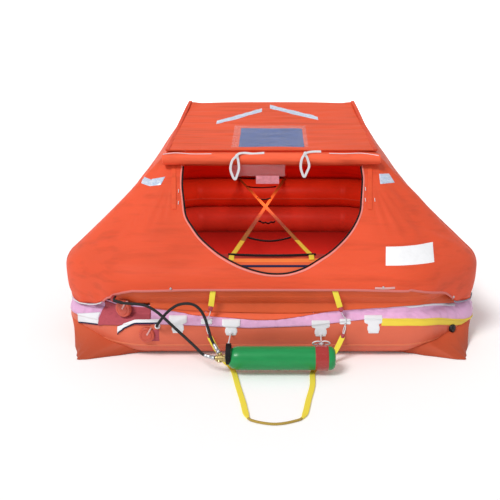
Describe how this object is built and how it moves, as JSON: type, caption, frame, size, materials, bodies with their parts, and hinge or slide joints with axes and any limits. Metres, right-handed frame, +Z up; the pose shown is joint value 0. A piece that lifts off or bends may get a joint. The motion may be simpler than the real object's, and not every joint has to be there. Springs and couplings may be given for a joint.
{
  "type": "inflatable life raft",
  "caption": "Inflatable life raft with stacked hull tubes, pitched canopy with a rolled-up door, water pockets, gas bottle with hoses and a webbing ladder.",
  "frame": {"origin": "On the ground, under the middle of the hull, at the underside of the floor sheet.", "axes": "+Z up, -Y out of the door, +X to the right of someone who looks in through the door"},
  "size_m": [1.7224, 3.0445, 0.955],
  "materials": {
    "orange_tube": "coated fabric, satin, orange",
    "red_cloth": "coated canopy cloth, orange-red, thin",
    "pink_band": "coated fabric, pale pink",
    "floor_cloth": "coated fabric, dark orange-red",
    "white_patch": "coated fabric, white",
    "yellow_webbing": "woven webbing, yellow",
    "green_bottle": "gloss green paint",
    "black_rubber": "smooth black rubber",
    "brass": "machined, dull",
    "red_strap": "coated fabric and moulded valve, dark red",
    "blue_panel": "plain blue panel, blank"
  },
  "bodies": {
    "root": {"lower_tube": "orange_tube", "upper_tube": "orange_tube", "floor": "floor_cloth", "hull_band": "pink_band", "pocket_front_right": "orange_tube", "pocket_rear_right": "orange_tube", "pocket_rear_left": "orange_tube", "pocket_front_left": "orange_tube", "door_arch": "orange_tube", "main_arch": "orange_tube", "canopy_front": "red_cloth", "canopy_side_right": "red_cloth", "canopy_side_left": "red_cloth", "canopy_rear": "red_cloth", "canopy_roof": "red_cloth", "door_roll": "red_cloth", "number_panel": "blue_panel", "line_patch_left": "white_patch", "line_patch_bottle_left": "white_patch", "line_patch_bottle_right": "white_patch", "line_patch_right": "white_patch", "ladder_patch_left": "white_patch", "ladder_patch_right": "white_patch", "line_patch_right_fore": "white_patch", "line_patch_right_mid": "white_patch", "line_patch_right_aft": "white_patch", "line_patch_left_fore": "white_patch", "line_patch_left_mid": "white_patch", "line_patch_left_aft": "white_patch", "line_patch_rear_left": "white_patch", "line_patch_rear_right": "white_patch", "tow_patch": "white_patch", "yellow_belt": "yellow_webbing", "ladder_tab_left": "yellow_webbing", "ladder_tab_right": "yellow_webbing", "gas_bottle": "green_bottle", "neck_sleeve": "black_rubber", "bottle_valve": "brass", "bottle_band": "red_strap", "bottle_tie_left": "white_patch", "bottle_tie_right": "white_patch", "inlet_valve_upper": "red_strap", "inlet_valve_lower": "red_strap", "relief_valve": "black_rubber", "hose_elbow": "black_rubber", "hose_nipple": "white_patch", "hose_long": "black_rubber", "hose_short": "black_rubber", "boarding_ladder": "yellow_webbing", "inner_strap_low": "yellow_webbing", "inner_strap_high": "yellow_webbing"}
  },
  "joints": []
}
